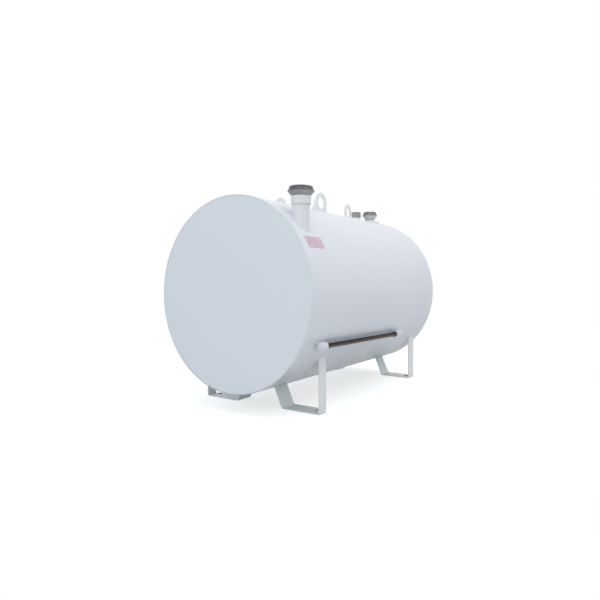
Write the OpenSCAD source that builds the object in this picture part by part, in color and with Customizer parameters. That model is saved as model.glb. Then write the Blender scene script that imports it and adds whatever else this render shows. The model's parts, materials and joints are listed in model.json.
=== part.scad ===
// Horizontal single wall utility fuel tank on four bent plate legs.
// The tank axis runs along Y, the near end is at -Y, the ground is at Z 0.

/* [Tank shell] */
// Outside diameter of the shell
tank_d = 1219.2; // [1050:0.1:1500]
// Length of the shell, end to end
tank_l = 1828.8; // [1700:0.1:2600]
// Thickness of the shell plate
shell_t = 3.5; // [2:0.1:8]
// Clear height between the ground and the shell
ground_gap = 120; // [80:1:200]

/* [Heads] */
// Thickness of a head plate
head_t = 3.5; // [2:0.1:6]
// Length of the flange that lies inside the shell
head_flange = 38; // [25:1:80]
// Outer bend radius at the edge of a head
head_knuckle = 10; // [7:0.5:24]

/* [Riser] */
// How far the riser's middle lies inside the tank's side
riser_inset = 175.6; // [140:0.1:300]
// Distance of the riser from the near end
riser_from_end = 136.4; // [100:0.1:300]
// Outside diameter of the riser pipe
riser_d = 101.6; // [76:0.1:120]
// Wall of the riser pipe
riser_t = 5.7; // [3:0.1:9]
// How far the riser's top lies below the crown of the shell
riser_drop = 31; // [0:1:80]
// Outside diameter of the collar on the riser
collar_d = 120; // [110:0.5:150]
// Height of the collar
collar_h = 48; // [30:1:80]
// Length of pipe inside the collar
collar_lap = 24; // [12:1:28]

/* [Riser cap] */
// Diameter of the cap's rim
riser_cap_rim_d = 159; // [145:1:190]
// Diameter of the cap's flat top
riser_cap_top_d = 142; // [100:1:144]
// Height of the cap over the collar
riser_cap_h = 56; // [50:1:100]
// Height of the rim over the collar
riser_cap_rim_h = 26; // [16:1:30]

/* [Lifting lugs] */
// Thickness of a lug plate
lug_t = 9.5; // [6:0.5:16]
// Width of plate around a lug's eye
lug_rim = 28; // [18:1:40]
// Sideways distance of the near lugs from the crown
near_lug_x = 180; // [120:1:300]
// Distance of the near lugs' eyes from the near end
near_lug_from_end = 738; // [500:1:900]
// Diameter of a near lug's eye
near_eye_d = 84; // [50:1:90]
// Height of a near lug's eye, at its lowest point, over the shell
near_eye_z = 18; // [15:1:60]
// Length of a near lug's flared foot from the eye's centre
near_lug_run = 111; // [80:1:150]
// Distance of the far lug's eye from the far end
far_lug_from_end = 396.2; // [380:0.1:600]
// Width of the far lug's slot
far_eye_w = 46; // [30:1:60]
// Height of the far lug's slot
far_eye_h = 76; // [62:1:90]
// Height of the far lug's slot, at its lowest point, over the shell
far_eye_z = 21; // [15:1:50]
// Length of the far lug's flared foot from the slot's middle
far_lug_run = 72; // [56:1:90]

/* [Small bung] */
// Distance of the bung from the far end
bung_from_end = 253.3; // [240:0.1:272]
// Outside diameter of the bung
bung_d = 72; // [56:1:82]
// Wall of the bung
bung_t = 8; // [5:0.5:12]
// Height of the bung over the crown
bung_h = 28; // [12:1:40]
// Outside diameter of the plug that closes the bung
plug_d = 84; // [60:1:90]
// Height of the plug over the bung
plug_h = 46; // [30:1:70]

/* [Vent] */
// Sideways distance of the vent from the crown
vent_x = 66; // [60:1:100]
// Distance of the vent from the far end
vent_from_end = 116.9; // [110:0.1:122]
// Diameter of the vent's pad on the shell
vent_pad_d = 172; // [150:1:200]
// Diameter of the vent's pad at its top
vent_pad_top_d = 82; // [80:1:120]
// Height of the pad over the shell
vent_pad_h = 15; // [10:1:40]
// Bore through the pad
vent_bore_d = 52; // [40:1:60]
// Diameter of the vent cap's rim
vent_cap_rim_d = 132; // [116:1:150]
// Diameter of the vent cap's flat top
vent_cap_top_d = 112; // [76:1:114]
// Height of the vent cap over the pad
vent_cap_h = 74; // [64:1:100]
// Height of the vent cap's rim over the pad
vent_cap_rim_h = 41; // [24:1:44]

/* [Cap details] */
// Wall of the caps and the plug
cap_wall = 6; // [4:0.5:9]
// Length of the spigot under a cap
cap_spigot = 16; // [8:1:20]
// Width of the upright band around a cap's rim
cap_band = 4; // [3:0.5:8]
// Height of the rounded shoulder at a cap's top
cap_shoulder = 5; // [3:0.5:8]
// How far a cap's rim stands out past its side
cap_lip = 7.5; // [4:0.5:9]
// Height of the flare between a cap's side and its rim
cap_flare = 10; // [6:0.5:12]

/* [Legs] */
// How far the outside of a leg lies inside the tank's side
leg_inset = 136.6; // [110:0.1:190]
// Length of a near foot along the ground
near_foot_l = 285; // [220:1:330]
// Length of a far foot along the ground
far_foot_l = 250; // [220:1:330]
// How far a brace leans in between the ground and the shell
brace_lean = 62; // [40:1:100]
// Thickness of the leg plates
leg_t = 6.4; // [4:0.1:12]
// Width of the bent foot plate
foot_w = 127; // [115:1:180]
// Width of a near upright
near_upright_w = 76; // [50:1:100]
// Width of a far upright
far_upright_w = 97; // [50:1:104]
// Distance of the near legs' near edge from the near end
near_leg_setback = 272; // [150:1:500]
// Distance of the far legs' near edge from the far end
far_leg_setback = 196.5; // [190:0.1:500]
// Radius inside the bend of a foot plate
bend_r = 10; // [4:1:16]
// Diameter of the anchor hole in a foot
anchor_d = 34; // [14:1:36]
// Distance of the anchor hole from the outside of the leg
anchor_in = 53; // [40:1:80]
// Distance of the anchor hole from the near edge of the foot
anchor_y = 68; // [40:1:76]

/* [Gauge stick] */
// Angle of the near holder from the crown
near_holder_angle = 117.5; // [105:0.1:126]
// Angle of the far holder from the crown
far_holder_angle = 119.6; // [105:0.1:126]
// Outside diameter of a holder
holder_d = 52; // [52:1:66]
// Wall of a holder
holder_t = 7; // [4:0.5:7]
// Height of the dome that closes the near holder
end_dome = 12; // [6:1:16]
// Length of the near holder
near_holder_l = 72; // [40:1:90]
// Length of the far holder
far_holder_l = 100; // [60:1:130]
// Distance of the near holder's closed end from the near end
near_holder_from_end = 122; // [60:1:400]
// Distance of the far holder's near edge from the far end
far_holder_from_end = 653.8; // [330:0.1:800]
// Side of the square gauge stick
stick_w = 25.4; // [18:0.1:26]
// Length of stick inside the far holder
stick_in = 60; // [30:1:90]

/* [Fits] */
// Gap left for weld where a piece seats on another
seat_gap = 0.3; // [0.1:0.05:0.5]

/* [Hidden] */
$fn = 96;
// Fineness of the large cylinders that follow the shell
shell_fn = 480;

shell_r = tank_d / 2;
axis_z = shell_r + ground_gap;
crown_z = axis_z + shell_r;
near_end = -tank_l / 2;
far_end = tank_l / 2;
// Extra length that lets a cut run clean through
over = 1;
// Step between a lug's round top and the web under it
lug_step = 0.5;
// Length by which a foot plate's flats run into its bend
bend_lap = 0.5;

riser_x = shell_r - riser_inset;
riser_y = near_end + riser_from_end;
riser_bore = riser_d - 2 * riser_t;
collar_top = crown_z - riser_drop;
collar_bottom = collar_top - collar_h;
collar_bore = riser_d + 2 * seat_gap;

bung_y = far_end - bung_from_end;
bung_bore = bung_d - 2 * bung_t;
vent_y = far_end - vent_from_end;
vent_base_z = shell_z(vent_x);
vent_top_z = vent_base_z + vent_pad_h;

leg_out = shell_r - leg_inset;
foot_near_y = near_end + near_leg_setback;
foot_far_y = far_end - far_leg_setback;

holder_bore = holder_d - 2 * holder_t;
holder_r = shell_r + holder_d / 2 + seat_gap;
near_holder_at = holder_place(near_holder_angle, near_end + near_holder_from_end);
far_holder_at = holder_place(far_holder_angle, far_end - far_holder_from_end);
// The stick and both holders lie along the line between the two holders
stick_line = far_holder_at - near_holder_at;
// The stick lies on the lower wall of both holders
stick_drop = sqrt(pow(holder_bore / 2 - seat_gap, 2) - pow(stick_w / 2, 2)) - stick_w / 2;
stick_start = end_dome + seat_gap;
stick_end = norm(stick_line) + stick_in;
// Radius of the ball that domes the near holder's closed end
dome_r = (holder_d * holder_d / 4 + end_dome * end_dome) / (2 * end_dome);

paint = "#e6e9ee";
cap_grey = "#5c5e63";
stick_wood = "#3a2c22";

// Height of the shell's upper outside over a point at sideways distance x
function shell_z(x) = axis_z + sqrt(shell_r * shell_r - x * x);
// Height of the shell's lower outside under a point at sideways distance x
function shell_low_z(x) = axis_z - sqrt(shell_r * shell_r - x * x);
// Middle of a stick holder's near end, at an angle from the crown
function holder_place(angle, y) = [holder_r * sin(angle), y, axis_z + holder_r * cos(angle)];

// A cylinder along the tank axis
module along_tank(r, length) {
    translate([0, 0, axis_z]) rotate([90, 0, 0]) cylinder(r = r, h = length, center = true, $fn = shell_fn);
}

// Copes a piece to the outside of the shell
module seated_on_shell() {
    difference() {
        children();
        along_tank(shell_r + seat_gap, tank_l + 2 * over);
    }
}

module tank_shell() {
    color(paint)
    difference() {
        along_tank(shell_r, tank_l);
        along_tank(shell_r - shell_t, tank_l + 2 * over);
        translate([riser_x, riser_y, axis_z]) cylinder(d = riser_bore, h = shell_r);
        translate([0, bung_y, axis_z]) cylinder(d = bung_bore, h = shell_r + over);
        translate([vent_x, vent_y, axis_z]) cylinder(d = vent_bore_d, h = shell_r + over);
    }
}

// Half section of a flat flanged head, radius along X and depth into the tank along Y
module head_section() {
    r = shell_r - shell_t - seat_gap;
    flat_r = r - head_knuckle;
    square([flat_r, head_t]);
    translate([r - head_t, head_knuckle]) square([head_t, head_flange - head_knuckle]);
    intersection() {
        translate([flat_r, head_knuckle]) difference() {
            circle(r = head_knuckle);
            circle(r = head_knuckle - head_t);
        }
        translate([flat_r, 0]) square([head_knuckle, head_knuckle]);
    }
}

module head() {
    color(paint) rotate_extrude($fn = shell_fn) head_section();
}

module near_head() {
    translate([0, near_end, axis_z]) rotate([-90, 0, 0]) head();
}

module far_head() {
    translate([0, far_end, axis_z]) rotate([90, 0, 0]) head();
}

module riser_pipe() {
    pipe_top = collar_bottom + collar_lap;
    color(paint)
    seated_on_shell()
    translate([riser_x, riser_y, axis_z]) difference() {
        cylinder(d = riser_d, h = pipe_top - axis_z);
        translate([0, 0, -over]) cylinder(d = riser_bore, h = pipe_top - axis_z + 2 * over);
    }
}

module riser_collar() {
    color(paint)
    translate([riser_x, riser_y, collar_bottom]) difference() {
        cylinder(d = collar_d, h = collar_h);
        translate([0, 0, -over]) cylinder(d = collar_bore, h = collar_h + 2 * over);
    }
}

// Weather cap: a flat top, steep sides, a flare to a sharp rim, a taper below it and a hollow spigot
module weather_cap(top_d, rim_d, neck_d, spigot_d, h, rim_h) {
    color(cap_grey)
    rotate_extrude() polygon([
        [0, h], [top_d / 2 - cap_shoulder, h], [top_d / 2, h - cap_shoulder],
        [rim_d / 2 - cap_lip, rim_h + cap_band + cap_flare],
        [rim_d / 2, rim_h + cap_band], [rim_d / 2, rim_h],
        [neck_d / 2, 0], [spigot_d / 2, 0], [spigot_d / 2, -cap_spigot],
        [spigot_d / 2 - cap_wall, -cap_spigot], [spigot_d / 2 - cap_wall, h - cap_wall],
        [0, h - cap_wall]
    ]);
}

module riser_cap() {
    translate([riser_x, riser_y, collar_top])
        weather_cap(riser_cap_top_d, riser_cap_rim_d, collar_d - 2 * cap_wall,
            collar_bore - 2 * seat_gap, riser_cap_h, riser_cap_rim_h);
}

// A lug plate lying flat: a rounded top over the eye, one upright side and one flared side
module lug_plate(eye_w, eye_h, eye_z, run) {
    r = eye_w / 2 + lug_rim;
    low = eye_z + eye_w / 2;
    top = eye_z + eye_h - eye_w / 2;
    // The web under the round top is a little narrower, so that their sides cross
    web = r - lug_step;
    // Angle at which the flared side runs into the round top
    touch = atan2(-top, -run) - acos(web / norm([run, top]));
    difference() {
        union() {
            translate([0, top, 0]) cylinder(r = r, h = lug_t, center = true);
            linear_extrude(lug_t, center = true) polygon([
                [-run, 0], [web * cos(touch), top + web * sin(touch)], [0, top],
                [web, top], [web, -lug_t], [-run, -lug_t]
            ]);
        }
        translate([0, top, 0]) cylinder(d = eye_w, h = lug_t + 2 * over, center = true);
        if (top > low) {
            translate([0, low, 0]) cylinder(d = eye_w, h = lug_t + 2 * over, center = true);
            translate([0, (low + top) / 2, 0]) cube([eye_w, top - low, lug_t + 2 * over], center = true);
        }
    }
}

// A lug parallel to the tank axis, its eye over y, its flared side towards the nearer end
module lug(x, y, eye_w, eye_h, eye_z, run, flare_to_near) {
    color(paint)
    seated_on_shell()
    translate([x, y, shell_z(x)])
    rotate([90, 0, flare_to_near ? 90 : -90])
    lug_plate(eye_w, eye_h, eye_z, run);
}

module near_lug_right() {
    lug(near_lug_x, near_end + near_lug_from_end, near_eye_d, near_eye_d, near_eye_z, near_lug_run, true);
}

module near_lug_left() {
    lug(-near_lug_x, near_end + near_lug_from_end, near_eye_d, near_eye_d, near_eye_z, near_lug_run, true);
}

module far_lug() {
    lug(0, far_end - far_lug_from_end, far_eye_w, far_eye_h, far_eye_z, far_lug_run, false);
}

module bung() {
    color(paint)
    seated_on_shell()
    translate([0, bung_y, crown_z - bung_d / 2]) difference() {
        cylinder(d = bung_d, h = bung_d / 2 + bung_h);
        translate([0, 0, -over]) cylinder(d = bung_bore, h = bung_d / 2 + bung_h + 2 * over);
    }
}

module bung_plug() {
    spigot_r = bung_bore / 2 - seat_gap;
    color(cap_grey)
    translate([0, bung_y, crown_z + bung_h]) rotate_extrude() polygon([
        [0, plug_h], [plug_d / 2 - cap_wall / 2, plug_h], [plug_d / 2, plug_h - cap_wall / 2],
        [plug_d / 2, 0], [spigot_r, 0], [spigot_r, -cap_spigot],
        [spigot_r - cap_wall, -cap_spigot], [spigot_r - cap_wall, plug_h - cap_wall],
        [0, plug_h - cap_wall]
    ]);
}

module vent_pad() {
    skirt = vent_pad_d / 2;
    color(paint)
    seated_on_shell()
    translate([vent_x, vent_y, vent_base_z]) difference() {
        union() {
            translate([0, 0, -skirt]) cylinder(d = vent_pad_d, h = skirt);
            cylinder(d1 = vent_pad_d, d2 = vent_pad_top_d, h = vent_pad_h);
        }
        translate([0, 0, -skirt - over]) cylinder(d = vent_bore_d, h = skirt + vent_pad_h + 2 * over);
    }
}

module vent_cap() {
    translate([vent_x, vent_y, vent_top_z])
        weather_cap(vent_cap_top_d, vent_cap_rim_d, vent_pad_top_d - 2 * cap_wall,
            vent_bore_d - 2 * seat_gap, vent_cap_h, vent_cap_rim_h);
}

// Side view of a right foot plate: the foot on the ground and the brace that leans in under the shell
module foot_section(foot_l) {
    foot_inner = leg_out - foot_l;
    rise = shell_low_z(foot_inner - brace_lean);
    lean = atan2(rise, brace_lean);
    length = norm([brace_lean, rise]) + leg_t;
    // The plate bends about this point, over the foot and outside the brace
    bend_out = bend_r + leg_t;
    centre = [foot_inner + bend_out / tan((180 - lean) / 2), bend_out];
    bend_l = centre[0] - foot_inner - bend_lap;
    translate([foot_inner + bend_l, 0]) square([foot_l - bend_l, leg_t]);
    translate([foot_inner, 0]) rotate(180 - lean) translate([bend_l, -leg_t]) square([length - bend_l, leg_t]);
    intersection() {
        translate(centre) difference() {
            circle(r = bend_out);
            circle(r = bend_r);
        }
        polygon([
            centre, [centre[0], -over], [foot_inner - over, -over],
            centre + 2 * bend_out * [cos(270 - lean), sin(270 - lean)]
        ]);
    }
}

// A right foot plate with its near edge at y
module foot_plate(y, foot_l, upright_w) {
    // The corner past the upright is cut off at 45 degrees
    corner = foot_w - upright_w;
    color(paint)
    seated_on_shell()
    translate([0, y, 0]) difference() {
        translate([0, foot_w, 0]) rotate([90, 0, 0]) linear_extrude(foot_w) foot_section(foot_l);
        translate([leg_out - anchor_in, anchor_y, -over]) cylinder(d = anchor_d, h = leg_t + 2 * over);
        translate([leg_out, foot_w, -over]) linear_extrude(leg_t + 2 * over)
            polygon([[over, -corner - over], [over, over], [-corner - over, over]]);
    }
}

// A right upright that stands on the foot and reaches the side of the shell
module upright(y, upright_w) {
    color(paint)
    seated_on_shell()
    translate([leg_out - leg_t, y, leg_t]) cube([leg_t, upright_w, axis_z - leg_t]);
}

module near_right_foot() { foot_plate(foot_near_y, near_foot_l, near_upright_w); }
module near_left_foot() { mirror([1, 0, 0]) foot_plate(foot_near_y, near_foot_l, near_upright_w); }
module far_right_foot() { foot_plate(foot_far_y, far_foot_l, far_upright_w); }
module far_left_foot() { mirror([1, 0, 0]) foot_plate(foot_far_y, far_foot_l, far_upright_w); }
module near_right_upright() { upright(foot_near_y, near_upright_w); }
module near_left_upright() { mirror([1, 0, 0]) upright(foot_near_y, near_upright_w); }
module far_right_upright() { upright(foot_far_y, far_upright_w); }
module far_left_upright() { mirror([1, 0, 0]) upright(foot_far_y, far_upright_w); }

// Puts children, laid out along Y, on the line from the near holder to the far one
module along_stick() {
    tilt = asin(stick_line[2] / norm(stick_line));
    turn = -atan2(stick_line[0], stick_line[1]);
    translate(near_holder_at) rotate([0, 0, turn]) rotate([tilt, 0, 0]) children();
}

// A short pipe along the side of the shell, closed by a dome at its near end
module near_stick_holder() {
    color(paint)
    along_stick() rotate([-90, 0, 0]) difference() {
        intersection() {
            cylinder(d = holder_d, h = near_holder_l);
            union() {
                translate([0, 0, dome_r]) sphere(r = dome_r);
                translate([0, 0, 2 * end_dome]) cylinder(d = holder_d + 2 * over, h = near_holder_l);
            }
        }
        translate([0, 0, end_dome]) cylinder(d = holder_bore, h = near_holder_l);
    }
}

// A short open pipe further along, which takes the stick's other end
module far_stick_holder() {
    color(paint)
    along_stick() translate([0, norm(stick_line), 0]) rotate([-90, 0, 0]) difference() {
        cylinder(d = holder_d, h = far_holder_l);
        translate([0, 0, -over]) cylinder(d = holder_bore, h = far_holder_l + 2 * over);
    }
}

module gauge_stick() {
    color(stick_wood)
    along_stick() translate([-stick_w / 2, stick_start, -stick_drop - stick_w / 2])
        cube([stick_w, stick_end - stick_start, stick_w]);
}

tank_shell();
near_head();
far_head();
riser_pipe();
riser_collar();
riser_cap();
near_lug_right();
near_lug_left();
far_lug();
bung();
bung_plug();
vent_pad();
vent_cap();
near_right_foot();
near_left_foot();
far_right_foot();
far_left_foot();
near_right_upright();
near_left_upright();
far_right_upright();
far_left_upright();
near_stick_holder();
far_stick_holder();
gauge_stick();
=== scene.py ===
# %% [markdown]
# # Dressing a utility fuel tank
# The tank is a rolled steel shell with two flat ends, four bent plate legs, a capped riser, lifting
# lugs, two small fittings on top and a wooden gauge stick along its side.
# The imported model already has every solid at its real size, in metres. The tank could be modelled again
# here, but then two models would have to agree. So this lesson only adds what a welder and a painter
# add: weld beads, planed timber, a plain patch, paint, castings and light.

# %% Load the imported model
import json
import math

import bpy
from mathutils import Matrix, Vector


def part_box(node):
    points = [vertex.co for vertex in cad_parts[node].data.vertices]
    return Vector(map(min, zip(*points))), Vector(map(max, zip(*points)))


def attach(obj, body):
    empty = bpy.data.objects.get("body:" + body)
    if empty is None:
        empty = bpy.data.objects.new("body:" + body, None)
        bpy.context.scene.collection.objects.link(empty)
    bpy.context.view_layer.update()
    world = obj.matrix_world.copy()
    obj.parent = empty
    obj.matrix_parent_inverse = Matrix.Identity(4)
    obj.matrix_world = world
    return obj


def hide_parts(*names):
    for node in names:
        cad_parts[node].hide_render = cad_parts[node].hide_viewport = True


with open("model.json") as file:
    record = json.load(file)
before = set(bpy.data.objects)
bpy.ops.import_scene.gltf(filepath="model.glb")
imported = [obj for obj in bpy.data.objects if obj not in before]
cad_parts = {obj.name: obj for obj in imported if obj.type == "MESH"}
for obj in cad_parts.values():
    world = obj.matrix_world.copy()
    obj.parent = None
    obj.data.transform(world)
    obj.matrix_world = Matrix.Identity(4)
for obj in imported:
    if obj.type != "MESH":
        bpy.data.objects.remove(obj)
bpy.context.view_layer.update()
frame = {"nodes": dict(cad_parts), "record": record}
nodes = frame["nodes"]
scene = bpy.context.scene
print("nodes loaded:", len(nodes))

# %% [markdown]
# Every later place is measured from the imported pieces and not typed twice. All the other pieces sit on
# the shell, so its box is measured first. It gives the tank's axis, radius and ends.

# %% Measure the shell
shell_low, shell_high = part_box("tank_shell")
tank_radius = (shell_high[2] - shell_low[2]) / 2
axis_height = (shell_high[2] + shell_low[2]) / 2
near_end = shell_low[1]
far_end = shell_high[1]
print("tank radius %.4f m, axis at %.4f m" % (tank_radius, axis_height))

# %% [markdown]
# The camera stands to the right of the near end, a little over the tank's axis. It could be tilted down
# at the tank, but a level camera keeps upright edges upright, and a small lens shift then does what a
# crop of the picture does.

# %% Place the camera
camera_place = (2.1029, -3.1214, 0.8130)
camera_turn = math.radians(33.22)
bpy.ops.object.select_all(action="DESELECT")
bpy.ops.object.camera_add(location=camera_place, rotation=(math.radians(90), 0, camera_turn))
camera = bpy.context.object
camera.name = "picture_camera"
camera.data.sensor_width = 36
camera.data.lens = 29.489
camera.data.shift_x = -0.0337
camera.data.shift_y = -0.0319
scene.camera = camera
print("camera lens %.1f mm" % camera.data.lens)

# %% [markdown]
# Three small helpers keep the modelling short. An operator acts on everything that is selected, so each
# piece is worked on alone. A finished piece keeps its place in its mesh, with its object at the origin,
# and modifiers are applied at once, so that the mesh is what the eye sees.

# %% Helpers for working on one piece
def work_on(piece):
    """Selects one piece and makes it the active one."""
    bpy.ops.object.select_all(action="DESELECT")
    piece.select_set(True)
    bpy.context.view_layer.objects.active = piece


def settle(piece):
    """Moves a piece's place, turn and size into its mesh."""
    work_on(piece)
    bpy.ops.object.transform_apply(location=True, rotation=True, scale=True)


def apply_modifier(piece, kind, **settings):
    """Adds a modifier with its settings and applies it."""
    work_on(piece)
    modifier = piece.modifiers.new(kind.lower(), kind)
    for name, value in settings.items():
        setattr(modifier, name, value)
    bpy.ops.object.modifier_apply(modifier=modifier.name)


print("helpers for pieces ready")

# %% [markdown]
# Materials are trees of nodes. They could be drawn by hand in the shader editor, but a script keeps them
# readable: one helper adds a node and sets its plain inputs by name, and another joins two nodes.
# A shader node group is made once and placed in many materials, so it has a helper too.

# %% Helpers for node trees
def add_node(tree, kind, settings=None, inputs=None):
    """Adds a node, sets its own settings and its unlinked inputs."""
    node = tree.nodes.new(kind)
    for name, value in (settings or {}).items():
        setattr(node, name, value)
    for name, value in (inputs or {}).items():
        node.inputs[name].default_value = value
    return node


def link(tree, source, output, target, entry):
    """Joins one node's output to another node's input."""
    tree.links.new(source.outputs[output], target.inputs[entry])


def new_group(name, entries, exits):
    """Starts a shader node group with named float inputs and outputs."""
    group = bpy.data.node_groups.new(name, "ShaderNodeTree")
    for entry, value in entries:
        socket = group.interface.new_socket(entry, in_out="INPUT", socket_type="NodeSocketFloat")
        socket.default_value = value
    for leave in exits:
        group.interface.new_socket(leave, in_out="OUTPUT", socket_type="NodeSocketFloat")
    return group, group.nodes.new("NodeGroupInput"), group.nodes.new("NodeGroupOutput")


print("helpers for node trees ready")

# %% [markdown]
# Most finishes here need the same few steps: two colours mixed by a mask, a third colour laid over them,
# a mask sent to Roughness and a mask sent to a bump. The Mix node has sockets for several kinds of data,
# and the ones for colours share their names with others, so they are picked by number.

# %% Helpers for finishes
MIX_FACTOR = 0
MIX_FIRST = 6
MIX_SECOND = 7
MIX_RESULT = 2


def new_material(name):
    """Starts a material and returns it with its tree and its Principled shader."""
    material = bpy.data.materials.new(name)
    material.use_nodes = True
    return material, material.node_tree, material.node_tree.nodes["Principled BSDF"]


def two_tones(tree, mask, mask_exit, first, second):
    """Mixes two plain colours by a mask."""
    mix = add_node(tree, "ShaderNodeMix", {"data_type": "RGBA"})
    link(tree, mask, mask_exit, mix, MIX_FACTOR)
    mix.inputs[MIX_FIRST].default_value = (*first, 1.0)
    mix.inputs[MIX_SECOND].default_value = (*second, 1.0)
    return mix


def lay_over(tree, tone, mask, mask_exit, colour, amount):
    """Lays a plain colour over a mixed one, by a mask times an amount."""
    share = add_node(tree, "ShaderNodeMath", {"operation": "MULTIPLY"})
    link(tree, mask, mask_exit, share, 0)
    share.inputs[1].default_value = amount
    mix = add_node(tree, "ShaderNodeMix", {"data_type": "RGBA"})
    link(tree, share, "Value", mix, MIX_FACTOR)
    link(tree, tone, MIX_RESULT, mix, MIX_FIRST)
    mix.inputs[MIX_SECOND].default_value = (*colour, 1.0)
    return mix


def smooth_step(tree, start, stop):
    """A soft step from 0 at the start value to 1 at the stop value."""
    return add_node(
        tree, "ShaderNodeMapRange", {"interpolation_type": "SMOOTHSTEP"},
        {"From Min": start, "From Max": stop, "To Min": 0.0, "To Max": 1.0},
    )


def set_roughness(tree, mask, mask_exit, smoothest, roughest, bsdf):
    """Sends a mask to Roughness, stretched between two values."""
    gloss = add_node(tree, "ShaderNodeMapRange", inputs={"To Min": smoothest, "To Max": roughest})
    link(tree, mask, mask_exit, gloss, "Value")
    link(tree, gloss, "Result", bsdf, "Roughness")


def set_bump(tree, mask, mask_exit, strength, distance, bsdf):
    """Sends a mask to the Normal socket as a bump."""
    skin = add_node(tree, "ShaderNodeBump", inputs={"Strength": strength, "Distance": distance})
    link(tree, mask, mask_exit, skin, "Height")
    link(tree, skin, "Normal", bsdf, "Normal")


print("helpers for finishes ready")

# %% [markdown]
# Sprayed enamel isn't one flat colour. Rolled plate shows slow clouds, paint dries with a fine orange
# peel, rain leaves faint streaks that run down, and dust and splash gather near the ground. Near the
# ground the same mask also paints shade, where the tank's belly shades itself. Each could be painted on
# the surface, but noise on Object coordinates needs no image and fits every piece. One group gives the
# four as masks, and each painted material mixes them its own way.

# %% Group: painted plate, clouds and orange peel
paint_group, paint_in, paint_out = new_group(
    "painted_plate",
    [("Dust Height", 0.5), ("Streak Scale", 9.0), ("Peel Scale", 240.0)],
    ["Cloud", "Streak", "Dust And Shade", "Peel"],
)
place = add_node(paint_group, "ShaderNodeTexCoord")
cloud = add_node(paint_group, "ShaderNodeTexNoise", inputs={"Scale": 1.7, "Detail": 4.0, "Roughness": 0.55})
link(paint_group, place, "Object", cloud, "Vector")
link(paint_group, cloud, "Fac", paint_out, "Cloud")

peel = add_node(paint_group, "ShaderNodeTexNoise", inputs={"Detail": 2.0, "Roughness": 0.4})
link(paint_group, place, "Object", peel, "Vector")
link(paint_group, paint_in, "Peel Scale", peel, "Scale")
link(paint_group, peel, "Fac", paint_out, "Peel")
print("group started:", paint_group.name)

# %% Group: painted plate, streaks
# Heights are squeezed, so the noise is drawn out into upright streaks
squeezed_height = 0.07
stretch = add_node(paint_group, "ShaderNodeMapping", inputs={"Scale": (1.0, 1.0, squeezed_height)})
link(paint_group, place, "Object", stretch, "Vector")
streak = add_node(paint_group, "ShaderNodeTexNoise", inputs={"Detail": 5.0, "Roughness": 0.6})
link(paint_group, stretch, "Vector", streak, "Vector")
link(paint_group, paint_in, "Streak Scale", streak, "Scale")
streak_mask = smooth_step(paint_group, 0.52, 0.74)
link(paint_group, streak, "Fac", streak_mask, "Value")
link(paint_group, streak_mask, "Result", paint_out, "Streak")
print("streaks added")

# %% Group: painted plate, dust and painted shade low down
# The mask is 1 on the ground and falls to 0 at the given height; it carries dust and painted shade
split = add_node(paint_group, "ShaderNodeSeparateXYZ")
link(paint_group, place, "Object", split, "Vector")
low_part = add_node(
    paint_group, "ShaderNodeMapRange", {"interpolation_type": "SMOOTHSTEP"},
    {"From Min": 0.0, "To Min": 1.0, "To Max": 0.0},
)
link(paint_group, split, "Z", low_part, "Value")
link(paint_group, paint_in, "Dust Height", low_part, "From Max")
mottle = add_node(paint_group, "ShaderNodeTexNoise", inputs={"Scale": 14.0, "Detail": 6.0, "Roughness": 0.65})
link(paint_group, place, "Object", mottle, "Vector")
dust_and_shade_mask = add_node(paint_group, "ShaderNodeMath", {"operation": "MULTIPLY"})
link(paint_group, low_part, "Result", dust_and_shade_mask, 0)
link(paint_group, mottle, "Fac", dust_and_shade_mask, 1)
link(paint_group, dust_and_shade_mask, "Value", paint_out, "Dust And Shade")
print("group made:", paint_group.name, "with", len(paint_group.nodes), "nodes")

# %% [markdown]
# One function makes every painted finish from that group: a clean coat, a coat a shade darker in the
# clouds, soil in the streaks and near the ground, and a bump from the orange peel. The soil near the
# ground is partly painted shade. The pieces could all share one paint, but each has its own numbers: the
# shell's belly is darkest, mostly painted shade under the tank with some dust, the feet get a lighter
# copy of the legs' paint as painted light, the legs are less blue, and weld beads are lumpy.

# %% Painted materials
streak_scale = 9.0
peel_height = 0.001


def painted(name, coat, shade, soil_and_shade, rough, streaks, dust_and_shade, dust_and_shade_height, bump, peel_scale):
    """Makes one enamel: coat and shade colours, a soil colour that also paints shade low down, and how much
    of it lies on the paint.
    """
    material, tree, bsdf = new_material(name)
    plate = add_node(tree, "ShaderNodeGroup", {"node_tree": paint_group})
    plate.inputs["Dust Height"].default_value = dust_and_shade_height
    plate.inputs["Streak Scale"].default_value = streak_scale
    plate.inputs["Peel Scale"].default_value = peel_scale
    tone = two_tones(tree, plate, "Cloud", coat, shade)
    streaked = lay_over(tree, tone, plate, "Streak", soil_and_shade, streaks)
    dusted_and_shaded = lay_over(tree, streaked, plate, "Dust And Shade", soil_and_shade, dust_and_shade)
    link(tree, dusted_and_shaded, MIX_RESULT, bsdf, "Base Color")
    set_roughness(tree, plate, "Cloud", rough - 0.05, rough + 0.09, bsdf)
    set_bump(tree, plate, "Peel", bump, peel_height, bsdf)
    return material


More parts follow.
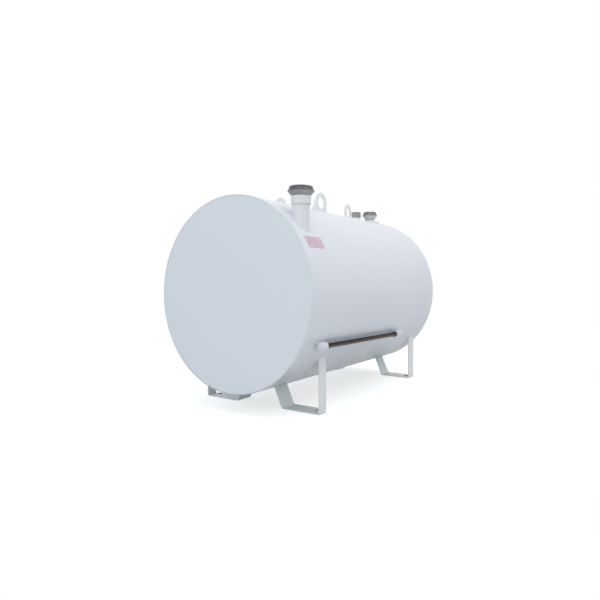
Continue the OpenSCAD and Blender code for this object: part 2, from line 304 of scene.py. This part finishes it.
# On the shell the dark soil near the ground is mostly painted shade on the belly, with some dust
tank_enamel = painted(
    "tank_enamel", (0.785, 0.805, 0.87), (0.76, 0.78, 0.845), (0.27, 0.295, 0.305),
    rough=0.34, streaks=0.04, dust_and_shade=1.25, dust_and_shade_height=0.60, bump=0.10, peel_scale=240.0,
)
head_enamel = painted(
    "head_enamel", (0.76, 0.80, 0.862), (0.75, 0.79, 0.852), (0.60, 0.64, 0.70),
    rough=0.38, streaks=0.02, dust_and_shade=0.05, dust_and_shade_height=0.40, bump=0.08, peel_scale=240.0,
)
leg_enamel = painted(
    "leg_enamel", (0.87, 0.878, 0.88), (0.85, 0.86, 0.862), (0.60, 0.63, 0.60),
    rough=0.40, streaks=0.05, dust_and_shade=0.16, dust_and_shade_height=0.16, bump=0.14, peel_scale=180.0,
)
# The feet get a lighter copy of the legs' paint: painted light for the shade they stand in under the tank
foot_enamel_painted_light = painted(
    "foot_enamel_painted_light", (0.90, 0.95, 0.945), (0.88, 0.935, 0.93), (0.66, 0.71, 0.69),
    rough=0.42, streaks=0.04, dust_and_shade=0.10, dust_and_shade_height=0.12, bump=0.14, peel_scale=180.0,
)
print("enamels for plates:", tank_enamel.name, head_enamel.name, leg_enamel.name, foot_enamel_painted_light.name)

# %% Painted materials of the small pieces
fitting_enamel = painted(
    "fitting_enamel", (0.85, 0.865, 0.875), (0.83, 0.845, 0.855), (0.56, 0.57, 0.56),
    rough=0.36, streaks=0.04, dust_and_shade=0.10, dust_and_shade_height=0.40, bump=0.12, peel_scale=200.0,
)
riser_enamel = painted(
    "riser_enamel", (0.79, 0.805, 0.82), (0.765, 0.78, 0.795), (0.52, 0.53, 0.53),
    rough=0.36, streaks=0.05, dust_and_shade=0.10, dust_and_shade_height=0.40, bump=0.12, peel_scale=200.0,
)
weld_enamel = painted(
    "weld_enamel", (0.79, 0.81, 0.845), (0.72, 0.74, 0.77), (0.45, 0.44, 0.42),
    rough=0.36, streaks=0.12, dust_and_shade=0.20, dust_and_shade_height=0.45, bump=0.45, peel_scale=150.0,
)
print("enamels for small pieces:", fitting_enamel.name, riser_enamel.name, weld_enamel.name)

# %% [markdown]
# The caps are raw castings. Sand casting leaves a fine grain and blotches of lighter oxide. The grain
# could be modelled, but at this size a bump is enough. Bare steel and vinyl use the same grain with other
# numbers, so it is a group.

# %% Group: sandy grain
grain_group, grain_in, grain_out = new_group(
    "sandy_grain",
    [("Fine Scale", 420.0), ("Blotch Scale", 16.0)],
    ["Fine", "Blotch"],
)
spot = add_node(grain_group, "ShaderNodeTexCoord")
fine = add_node(grain_group, "ShaderNodeTexNoise", inputs={"Detail": 3.0, "Roughness": 0.6})
link(grain_group, spot, "Object", fine, "Vector")
link(grain_group, grain_in, "Fine Scale", fine, "Scale")
link(grain_group, fine, "Fac", grain_out, "Fine")
blotch = add_node(grain_group, "ShaderNodeTexNoise", inputs={"Detail": 5.0, "Roughness": 0.62})
link(grain_group, spot, "Object", blotch, "Vector")
link(grain_group, grain_in, "Blotch Scale", blotch, "Scale")
spread = smooth_step(grain_group, 0.38, 0.66)
link(grain_group, blotch, "Fac", spread, "Value")
link(grain_group, spread, "Result", grain_out, "Blotch")


def place_grain(tree, fine_scale, blotch_scale):
    """Places the grain group in a material with its own scales."""
    grain = add_node(tree, "ShaderNodeGroup", {"node_tree": grain_group})
    grain.inputs["Fine Scale"].default_value = fine_scale
    grain.inputs["Blotch Scale"].default_value = blotch_scale
    return grain


print("group made:", grain_group.name, "with", len(grain_group.nodes), "nodes")

# %% [markdown]
# A cap is dark on its top and sides, and its underside is painted pale as a painted reflection of the
# bright ground. The underside could be a second material on chosen faces. Here a mask from the Normal
# output of Texture Coordinate finds the faces that look down, so it needs no selecting and works on all three
# castings.

# %% Castings
pale_from = -0.15
pale_at = -0.40
pale_share = 0.9


def casting(name, dark, light, reflected_grey):
    """Makes a raw casting: two blotchy greys, and a paler one on the faces that look down as a painted
    reflection.
    """
    material, tree, bsdf = new_material(name)
    bsdf.inputs["Metallic"].default_value = 0.6
    grain = place_grain(tree, 420.0, 16.0)
    tone = two_tones(tree, grain, "Blotch", dark, light)
    facing = add_node(tree, "ShaderNodeTexCoord")
    split_facing = add_node(tree, "ShaderNodeSeparateXYZ")
    link(tree, facing, "Normal", split_facing, "Vector")
    looks_down = smooth_step(tree, pale_from, pale_at)
    link(tree, split_facing, "Z", looks_down, "Value")
    painted_reflection = lay_over(tree, tone, looks_down, "Result", reflected_grey, pale_share)
    link(tree, painted_reflection, MIX_RESULT, bsdf, "Base Color")
    set_roughness(tree, grain, "Blotch", 0.34, 0.50, bsdf)
    set_bump(tree, grain, "Fine", 0.35, 0.0008, bsdf)
    return material


# The third grey of each casting is the painted reflection on its underside
cap_casting = casting("cap_casting", (0.09, 0.092, 0.10), (0.135, 0.135, 0.146), (0.35, 0.345, 0.36))
vent_casting = casting("vent_casting", (0.17, 0.172, 0.18), (0.22, 0.222, 0.23), (0.64, 0.64, 0.64))
plug_casting = casting("plug_casting", (0.28, 0.285, 0.30), (0.38, 0.385, 0.40), (0.44, 0.43, 0.45))
print("castings:", cap_casting.name, vent_casting.name, plug_casting.name)

# %% [markdown]
# The gauge stick is a dark hardwood bar that slopes a little from holder to holder. Its top is painted
# nearly black as painted shade, and its lower edge shows the brown of the wood. A split by height alone
# would cross the stick on its slope, so the slope is measured first and taken off the height.

# %% Measure the stick's slope
stick_ends = ([], [])
for corner in nodes["gauge_stick"].data.vertices:
    stick_ends[corner.co.y > 0].append(corner.co.copy())
stick_near, stick_far = [sum(end, end[0] * 0) / len(end) for end in stick_ends]
stick_slope = (stick_far.z - stick_near.z) / (stick_far.y - stick_near.y)
stick_level = stick_near.z - stick_slope * stick_near.y
print("the stick rises %.1f mm a metre towards the far end" % (stick_slope * 1000))

# %% Stick timber
# The near-black top is painted shade; the brown below it is the wood
stick_painted_shade = (0.008, 0.007, 0.007)
stick_timber, timber_tree, timber_bsdf = new_material("stick_timber")
timber_place = add_node(timber_tree, "ShaderNodeTexCoord")
timber_run = add_node(timber_tree, "ShaderNodeMapping", inputs={"Scale": (260.0, 7.0, 260.0)})
link(timber_tree, timber_place, "Object", timber_run, "Vector")
timber_grain = add_node(timber_tree, "ShaderNodeTexNoise", inputs={"Detail": 5.0, "Roughness": 0.6})
timber_grain.inputs["Scale"].default_value = 1.0
link(timber_tree, timber_run, "Vector", timber_grain, "Vector")
timber_brown = two_tones(timber_tree, timber_grain, "Fac", (0.10, 0.062, 0.042), (0.27, 0.18, 0.13))

timber_split = add_node(timber_tree, "ShaderNodeSeparateXYZ")
link(timber_tree, timber_place, "Object", timber_split, "Vector")
timber_level = add_node(timber_tree, "ShaderNodeMath", {"operation": "MULTIPLY_ADD"})
link(timber_tree, timber_split, "Y", timber_level, 0)
timber_level.inputs[1].default_value = -stick_slope
link(timber_tree, timber_split, "Z", timber_level, 2)
timber_low = smooth_step(timber_tree, stick_level + 0.005, stick_level - 0.010)
link(timber_tree, timber_level, "Value", timber_low, "Value")

timber_tone = add_node(timber_tree, "ShaderNodeMix", {"data_type": "RGBA"})
link(timber_tree, timber_low, "Result", timber_tone, MIX_FACTOR)
timber_tone.inputs[MIX_FIRST].default_value = (*stick_painted_shade, 1.0)
link(timber_tree, timber_brown, MIX_RESULT, timber_tone, MIX_SECOND)
link(timber_tree, timber_tone, MIX_RESULT, timber_bsdf, "Base Color")
set_roughness(timber_tree, timber_grain, "Fac", 0.62, 0.85, timber_bsdf)
set_bump(timber_tree, timber_grain, "Fac", 0.4, 0.0008, timber_bsdf)
print("material made:", stick_timber.name)

# %% [markdown]
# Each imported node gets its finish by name. A list of all the nodes would do, but the legs, ends and
# holders come in sets whose names end alike, so the last word of a name is enough for them. All that
# isn't named gets the fittings' paint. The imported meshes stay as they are.

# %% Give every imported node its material
finish_of_piece = {
    "tank_shell": tank_enamel,
    "riser_pipe": riser_enamel,
    "riser_collar": riser_enamel,
    "riser_cap": cap_casting,
    "vent_cap": vent_casting,
    "bung_plug": plug_casting,
    "gauge_stick": stick_timber,
}
finish_of_set = {"head": head_enamel, "foot": foot_enamel_painted_light, "upright": leg_enamel, "holder": tank_enamel}
for name, node in nodes.items():
    last_word = name.split("_")[-1]
    finish = finish_of_piece.get(name) or finish_of_set.get(last_word) or fitting_enamel
    node.data.materials.clear()
    node.data.materials.append(finish)
print("finished nodes:", len(nodes))

# %% [markdown]
# A real stick has its sharp corners planed off, and light catches them. A new bar could be made, but the
# packed one has the right slope, so a copy of it is used: its loose triangles are merged, its flat sides
# are made single faces again, and then every edge is bevelled.

# %% Gauge stick with planed edges
planed_edge = 0.0022
smooth_below = math.radians(40)
stick = bpy.data.objects.new("planed_stick", nodes["gauge_stick"].data.copy())
scene.collection.objects.link(stick)
work_on(stick)
bpy.ops.object.mode_set(mode="EDIT")
bpy.ops.mesh.select_all(action="SELECT")
bpy.ops.mesh.remove_doubles(threshold=0.00001)
bpy.ops.mesh.dissolve_limited(angle_limit=math.radians(1))
bpy.ops.mesh.select_all(action="SELECT")
bpy.ops.mesh.bevel(offset=planed_edge, segments=3, affect="EDGES")
bpy.ops.object.mode_set(mode="OBJECT")
bpy.ops.object.shade_smooth_by_angle(angle=smooth_below)
stick.data.materials.clear()
stick.data.materials.append(stick_timber)
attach(stick, "root")
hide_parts("gauge_stick")
print("stick faces:", len(stick.data.polygons))

# %% [markdown]
# A weld bead is a rope of metal in the corner between two plates. It could be swept along a curve that
# is worked out point by point. It is easier to draw a flat wire round the joint, drop it on the shell
# with a Shrinkwrap modifier, turn it into a curve with a round section, make that a mesh again and
# roughen it with a Displace modifier. First come the wires.

# %% Helpers for wires
eased_corner = 0.3


def box_middle(low, high):
    """Middle of a box from its two corners."""
    return [(a + b) / 2 for a, b in zip(low, high)]


def ring_wire(name, radius, centre, count):
    """A round wire that lies flat."""
    bpy.ops.object.select_all(action="DESELECT")
    bpy.ops.mesh.primitive_circle_add(vertices=count, radius=radius, fill_type="NOTHING", location=centre)
    wire = bpy.context.object
    wire.name = name
    settle(wire)
    return wire


def oblong_wire(name, size_x, size_y, centre, cuts):
    """A flat wire around an oblong, with eased corners."""
    bpy.ops.object.select_all(action="DESELECT")
    bpy.ops.mesh.primitive_plane_add(size=1, location=centre)
    wire = bpy.context.object
    wire.name = name
    wire.scale = (size_x, size_y, 1)
    settle(wire)
    bpy.ops.object.mode_set(mode="EDIT")
    bpy.ops.mesh.select_all(action="SELECT")
    bpy.ops.mesh.bevel(offset=min(size_x, size_y) * eased_corner, segments=2, affect="VERTICES")
    bpy.ops.mesh.delete(type="ONLY_FACE")
    bpy.ops.mesh.select_all(action="SELECT")
    bpy.ops.mesh.subdivide(number_cuts=cuts)
    bpy.ops.object.mode_set(mode="OBJECT")
    return wire


print("wire helpers ready")

# %% [markdown]
# Then come the two steps that make a bead of a wire. The lumps are small against the bead, about half
# its height, so that it looks laid by hand and still runs evenly.

# %% Helpers for weld beads
weld_lumps = bpy.data.textures.new("weld_lumps", "CLOUDS")
weld_lumps.noise_scale = 0.007
lump_share = 0.45


def drop_on_shell(wire, downwards):
    """Projects a wire straight down, or up, on the shell."""
    apply_modifier(
        wire, "SHRINKWRAP", target=nodes["tank_shell"], wrap_method="PROJECT", use_project_z=True,
        use_negative_direction=downwards, use_positive_direction=not downwards,
    )


def run_bead(wire, half_width):
    """Turns a wire into a lumpy weld bead in the tank's paint."""
    work_on(wire)
    bpy.ops.object.convert(target="CURVE")
    bead = bpy.context.object
    bead.data.bevel_depth = half_width
    bead.data.bevel_resolution = 2
    bpy.ops.object.convert(target="MESH")
    bead = bpy.context.object
    apply_modifier(
        bead, "DISPLACE", texture=weld_lumps, texture_coords="LOCAL",
        strength=half_width * lump_share, mid_level=0.5,
    )
    bpy.ops.object.shade_smooth()
    bead.data.materials.clear()
    bead.data.materials.append(weld_enamel)
    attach(bead, "root")
    print("bead", bead.name, "faces:", len(bead.data.polygons))


# %% [markdown]
# Each flat end lies inside the shell and is welded all round its edge. That bead fills the groove between
# the bent edge of the end and the shell. It doesn't lie on the shell's outside, so it isn't dropped there:
# it is a plain ring about the tank's axis.

# %% Beads around the two ends
end_bead_half = 0.0040
end_bead_radius = tank_radius - 0.0066
end_bead_depth = 0.0037
for name, end_y in (("near_end_weld", near_end + end_bead_depth), ("far_end_weld", far_end - end_bead_depth)):
    wire = ring_wire(name, end_bead_radius, (0, 0, 0), 960)
    wire.rotation_euler = (math.radians(90), 0, 0)
    wire.location = (0, end_y, axis_height)
    settle(wire)
    run_bead(wire, end_bead_half)

# %% [markdown]
# The riser, the bung and the vent's pad are round pieces that are coped to the shell. Their beads start
# as flat circles over the joint, a little wider than the piece, and fall on the shell's curve. The shell
# cuts one side of the pad away, so its centre is taken from the cap that stands on it.

# %% Beads around the round fittings
over_crown = axis_height + tank_radius + 0.1
bead_overhang = 0.3
round_fittings = (
    ("riser_weld", "riser_pipe", "riser_pipe", 0.0035),
    ("bung_weld", "bung", "bung", 0.0026),
    ("vent_weld", "vent_pad", "vent_cap", 0.0022),
)
for name, node, centre_node, half in round_fittings:
    low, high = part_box(node)
    radius = (high[1] - low[1]) / 2 + half * bead_overhang
    centre = box_middle(*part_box(centre_node))
    wire = ring_wire(name, radius, (centre[0], centre[1], over_crown), 160)
    drop_on_shell(wire, downwards=True)
    run_bead(wire, half)

# %% [markdown]
# The lugs are plates that stand on the shell. Their welds could be four short beads each, but a welder
# goes once round the foot of the plate, and so does a narrow oblong wire.

# %% Beads around the lug feet
lug_bead_half = 0.0030
for node in ("near_lug_right", "near_lug_left", "far_lug"):
    low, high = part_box(node)
    middle = box_middle(low, high)
    wire = oblong_wire(
        node + "_weld", high[0] - low[0] + lug_bead_half, high[1] - low[1] + lug_bead_half,
        (middle[0], middle[1], over_crown), 30,
    )
    drop_on_shell(wire, downwards=True)
    run_bead(wire, lug_bead_half)

# %% [markdown]
# A leg meets the shell twice: the upright's coped top at the side, and the leaning brace below. Both
# joints are under the shell's overhang, so their wires start near the ground and are projected upwards.
# The brace's top edge is narrower than the box of its foot, so it is measured on the mesh.

# %% Beads at the tops of the legs
leg_names = ("near_right", "near_left", "far_right", "far_left")
leg_bead_half = 0.0030
under_tank = 0.01
top_edge_band = 0.006
for leg in leg_names:
    low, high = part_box(leg + "_upright")
    middle = box_middle(low, high)
    wire = oblong_wire(
        leg + "_upright_weld", high[0] - low[0] + leg_bead_half, high[1] - low[1] + leg_bead_half,
        (middle[0], middle[1], under_tank), 16,
    )
    drop_on_shell(wire, downwards=False)
    run_bead(wire, leg_bead_half)

    low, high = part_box(leg + "_foot")
    foot_corners = [corner.co for corner in nodes[leg + "_foot"].data.vertices]
    edge = [corner.x for corner in foot_corners if corner.z > high[2] - top_edge_band]
    wire = oblong_wire(
        leg + "_brace_weld", max(edge) - min(edge) + leg_bead_half, high[1] - low[1] + leg_bead_half,
        ((min(edge) + max(edge)) / 2, (low[1] + high[1]) / 2, under_tank), 22,
    )
    drop_on_shell(wire, downwards=False)
    run_bead(wire, leg_bead_half)

# %% [markdown]
# Each upright stands on its foot plate, with a fillet weld along the inner corner and round the ends.
# This joint is flat, so the wire stays where it is made, a little to the inner side of the bar.

# %% Beads where the uprights stand on the feet
fillet_half = 0.0024
fillet_shift = 0.001
fillet_lift = 0.0008
fillet_end_gap = 0.004
for leg in leg_names:
    low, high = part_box(leg + "_upright")
    middle = box_middle(low, high)
    inwards = -1 if middle[0] > 0 else 1
    wire = oblong_wire(
        leg + "_foot_weld", high[0] - low[0] + fillet_shift, high[1] - low[1] - fillet_end_gap,
        (middle[0] + inwards * fillet_shift, middle[1], low[2] + fillet_lift), 16,
    )
    run_bead(wire, fillet_half)

# %% [markdown]
# The stick's two holders are short pipes that touch the shell along a line, with a bead on each side. The
# shell is steep there, and a wire projected up or down would be drawn out. So the wire is turned to face
# the shell and snapped to its nearest points, which needs no direction.

# %% Beads along the stick holders
holder_bead_half = 0.0028
holder_bead_spread = 0.016
holder_end_gap = 0.004
for node in ("near_stick_holder", "far_stick_holder"):
    low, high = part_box(node)
    middle = box_middle(low, high)
    from_crown = math.atan2(middle[0], middle[2] - axis_height)
    wire = oblong_wire(node + "_weld", holder_bead_spread, high[1] - low[1] - holder_end_gap, (0, 0, 0), 10)
    wire.rotation_euler = (0, from_crown, 0)
    wire.location = (
        tank_radius * math.sin(from_crown), middle[1], axis_height + tank_radius * math.cos(from_crown),
    )
    settle(wire)
    apply_modifier(wire, "SHRINKWRAP", target=nodes["tank_shell"], wrap_method="NEAREST_SURFACEPOINT")
    run_bead(wire, holder_bead_half)

# %% [markdown]
# The holes' near-black steel, a painted shade, and the vinyl are both blotches of two colours with an
# uneven gloss. Each could have its own tree, but they differ only in numbers, so one function makes both.

# %% Grainy materials
def grainy(name, first, second, fine_scale, blotch_scale, smoothest, roughest, metallic):
    """Makes a blotchy finish of two colours with a grain in its gloss."""
    material, tree, bsdf = new_material(name)
    bsdf.inputs["Metallic"].default_value = metallic
    grain = place_grain(tree, fine_scale, blotch_scale)
    tone = two_tones(tree, grain, "Blotch", first, second)
    link(tree, tone, MIX_RESULT, bsdf, "Base Color")
    set_roughness(tree, grain, "Fine", smoothest, roughest, bsdf)
    return material


# Near-black steel: painted shade for the inside of the anchor holes
hole_shade_steel = grainy(
    "hole_shade_steel", (0.035, 0.033, 0.032), (0.085, 0.072, 0.062), 900.0, 120.0, 0.6, 0.85, metallic=0.4,
)
faded_vinyl = grainy(
    "faded_vinyl", (0.61, 0.44, 0.53), (0.68, 0.52, 0.605), 300.0, 26.0, 0.35, 0.5, metallic=0.0,
)
print("grainy materials:", hole_shade_steel.name, faded_vinyl.name)

# %% [markdown]
# Each foot has one drilled hole for an anchor bolt. Its wall is lined with near-black steel as painted
# shade inside the hole. The imported feet can't have a second material, so a thin sleeve just inside
# the wall carries that finish. It starts as an open cylinder and gets its wall inwards, and the record
# gives the holes' size and places.

# %% Painted shade in the anchor holes
anchors = [mount for mount in frame["record"]["mounts"] if mount["name"] == "anchor_holes"][0]
hole_radius = anchors["dims"]["hole_r_mm"] / 1000
hole_x = anchors["dims"]["spacing_x_mm"] / 2000
hole_y = anchors["dims"]["spacing_y_mm"] / 2000
plate_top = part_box("near_right_upright")[0][2]
sleeve_gap = 0.0002
sleeve_wall = 0.0008
sleeve_edge = 0.0002
sleeve_height = plate_top - 0.0012
for leg in leg_names:
    side = 1 if leg.endswith("right") else -1
    end = 1 if leg.startswith("far") else -1
    bpy.ops.object.select_all(action="DESELECT")
    bpy.ops.mesh.primitive_cylinder_add(
        vertices=48, radius=hole_radius - sleeve_gap, depth=sleeve_height, end_fill_type="NOTHING",
        location=(side * hole_x, anchors["pos_m"][1] + end * hole_y, plate_top / 2),
    )
    sleeve = bpy.context.object
    sleeve.name = leg + "_hole_shade"
    settle(sleeve)
    apply_modifier(sleeve, "SOLIDIFY", thickness=sleeve_wall, offset=-1.0)
    apply_modifier(sleeve, "BEVEL", width=sleeve_edge, segments=2, limit_method="ANGLE")
    work_on(sleeve)
    bpy.ops.object.shade_smooth_by_angle(angle=smooth_below)
    sleeve.data.materials.append(hole_shade_steel)
    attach(sleeve, "root")
print("hole walls:", len(leg_names), "of radius %.4f m" % hole_radius)

# %% [markdown]
# Below the riser sits a small plain vinyl patch in a faded rose. It could be a mask in the shell's paint,
# but a real patch has an edge that stands up. So it is a plane, cut fine enough to follow the shell,
# snapped to it and given the thickness of vinyl.

# %% Plain patch
patch_angle = math.radians(59.8)
patch_from_end = 0.142
patch_size = (0.080, 0.166)
patch_lift = 0.0002
vinyl_thickness = 0.0003
bpy.ops.object.select_all(action="DESELECT")
bpy.ops.mesh.primitive_plane_add(size=1, rotation=(0, patch_angle, 0))
patch = bpy.context.object
patch.name = "plain_patch"
patch.scale = (*patch_size, 1)
patch.location = (
    tank_radius * math.sin(patch_angle),
    near_end + patch_from_end,
    axis_height + tank_radius * math.cos(patch_angle),
)
settle(patch)
bpy.ops.object.mode_set(mode="EDIT")
bpy.ops.mesh.select_all(action="SELECT")
bpy.ops.mesh.subdivide(number_cuts=11)
bpy.ops.object.mode_set(mode="OBJECT")
apply_modifier(
    patch, "SHRINKWRAP", target=nodes["tank_shell"], wrap_method="NEAREST_SURFACEPOINT",
    wrap_mode="OUTSIDE_SURFACE", offset=patch_lift,
)
apply_modifier(patch, "SOLIDIFY", thickness=vinyl_thickness, offset=1.0)
work_on(patch)
bpy.ops.object.shade_smooth_by_angle(angle=smooth_below)
patch.data.materials.append(faded_vinyl)
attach(patch, "root")
print("patch faces:", len(patch.data.polygons))

# %% [markdown]
# The floor is a plain pale plane. A bright floor could be lit until it is white, but that would also light
# the tank too much. So the Light Path node tells rays apart: seen directly, or in a reflection, the floor
# glows nearly white and keeps the tank's soft shadow, and to all other rays it is a pale grey floor that
# sends some light up under the tank.

# %% A mask for what is seen directly
def seen_directly(tree):
    """A mask that is 1 for camera, mirror and see-through rays."""
    path = add_node(tree, "ShaderNodeLightPath")
    camera_or_mirror = add_node(tree, "ShaderNodeMath", {"operation": "MAXIMUM"})
    link(tree, path, "Is Camera Ray", camera_or_mirror, 0)
    link(tree, path, "Is Glossy Ray", camera_or_mirror, 1)
    any_of_three = add_node(tree, "ShaderNodeMath", {"operation": "MAXIMUM"})
    link(tree, camera_or_mirror, "Value", any_of_three, 0)
    link(tree, path, "Is Transmission Ray", any_of_three, 1)
    return any_of_three


def mix_shaders(tree, mask, mask_exit, first, second):
    """Mixes two shaders by a mask."""
    mix = add_node(tree, "ShaderNodeMixShader")
    link(tree, mask, mask_exit, mix, 0)
    link(tree, first, 0, mix, 1)
    link(tree, second, 0, mix, 2)
    return mix


print("shader helpers ready")

# %% [markdown]
# Further out the floor fades to plain white, so that no horizon shows behind the tank.

# %% Floor
fade_start = 1.2
fade_end = 2.4
floor_depth = 0.0005
bpy.ops.object.select_all(action="DESELECT")
bpy.ops.mesh.primitive_plane_add(size=60, location=(0, 0, -floor_depth))
floor = bpy.context.object
floor.name = "studio_floor"
settle(floor)

floor_paint, floor_tree, floor_bsdf = new_material("floor_paint")
floor_tree.nodes.remove(floor_bsdf)
floor_grey = add_node(floor_tree, "ShaderNodeBsdfDiffuse", inputs={"Color": (0.68, 0.70, 0.70, 1.0)})
floor_glow = add_node(floor_tree, "ShaderNodeEmission", inputs={"Strength": 0.62})
floor_white = add_node(floor_tree, "ShaderNodeEmission", inputs={"Strength": 1.0})
floor_near = add_node(floor_tree, "ShaderNodeAddShader")
link(floor_tree, floor_grey, 0, floor_near, 0)
link(floor_tree, floor_glow, 0, floor_near, 1)
floor_place = add_node(floor_tree, "ShaderNodeTexCoord")
floor_reach = add_node(floor_tree, "ShaderNodeVectorMath", {"operation": "LENGTH"})
link(floor_tree, floor_place, "Object", floor_reach, 0)
floor_fade = smooth_step(floor_tree, fade_start, fade_end)
link(floor_tree, floor_reach, "Value", floor_fade, "Value")
floor_view = mix_shaders(floor_tree, floor_fade, "Result", floor_near, floor_white)
floor_mix = mix_shaders(floor_tree, seen_directly(floor_tree), "Value", floor_grey, floor_view)
link(floor_tree, floor_mix, 0, floor_tree.nodes["Material Output"], "Surface")
floor.data.materials.append(floor_paint)
print("floor ready, white from %.1f m out" % fade_end)

# %% [markdown]
# The light is a bright overcast day: a pale blue sky all round that gives soft light and hardly any
# shadow. A picture of a sky could be used, but one plain colour does. Behind the tank, and in
# reflections, the sky is plain white.

# %% Sky
sky = bpy.data.worlds.new("studio_sky")
scene.world = sky
sky.use_nodes = True
sky_tree = sky.node_tree
sky_light = sky_tree.nodes["Background"]
sky_light.inputs["Color"].default_value = (0.93, 0.97, 1.0, 1.0)
sky_light.inputs["Strength"].default_value = 0.72
sky_white = add_node(sky_tree, "ShaderNodeBackground", inputs={"Strength": 1.0})
sky_white.inputs["Color"].default_value = (1.0, 1.0, 1.0, 1.0)
sky_mix = mix_shaders(sky_tree, seen_directly(sky_tree), "Value", sky_light, sky_white)
link(sky_tree, sky_mix, 0, sky_tree.nodes["World Output"], "Surface")
print("sky ready")

# %% [markdown]
# Sky alone makes a tank look flat. A large soft lamp overhead, towards the riser's side, makes the crown
# lighter than the flank, and a weak one in front lifts the near end and the feet. Both could be sun lamps,
# but wide square lamps keep every edge of light soft.

# %% Lamps
def soft_lamp(name, place, aim, size, power, colour):
    """A square soft lamp that looks at a point."""
    bpy.ops.object.select_all(action="DESELECT")
    bpy.ops.object.light_add(type="AREA", location=place)
    lamp = bpy.context.object
    lamp.name = name
    lamp.data.shape = "SQUARE"
    lamp.data.size = size
    lamp.data.energy = power
    lamp.data.color = colour
    direction = [a - b for a, b in zip(aim, place)]
    flat = math.hypot(direction[0], direction[1])
    tilt = math.atan2(flat, -direction[2])
    turn = math.atan2(direction[1], direction[0]) - math.radians(90)
    lamp.rotation_euler = (tilt, 0, turn)
    print(name, "of", power, "W")


soft_lamp("overhead_lamp", (1.8, -0.8, 4.4), (0.0, 0.0, 0.8), size=4.5, power=60, colour=(1.0, 0.99, 0.97))
soft_lamp("front_lamp", (0.4, -5.0, 1.9), (0.0, 0.0, 0.7), size=3.0, power=24, colour=(0.97, 0.99, 1.0))

# %% [markdown]
# Colours are shown plainly, with no film curve.

# %% Plain colours
scene.view_settings.view_transform = "Standard"
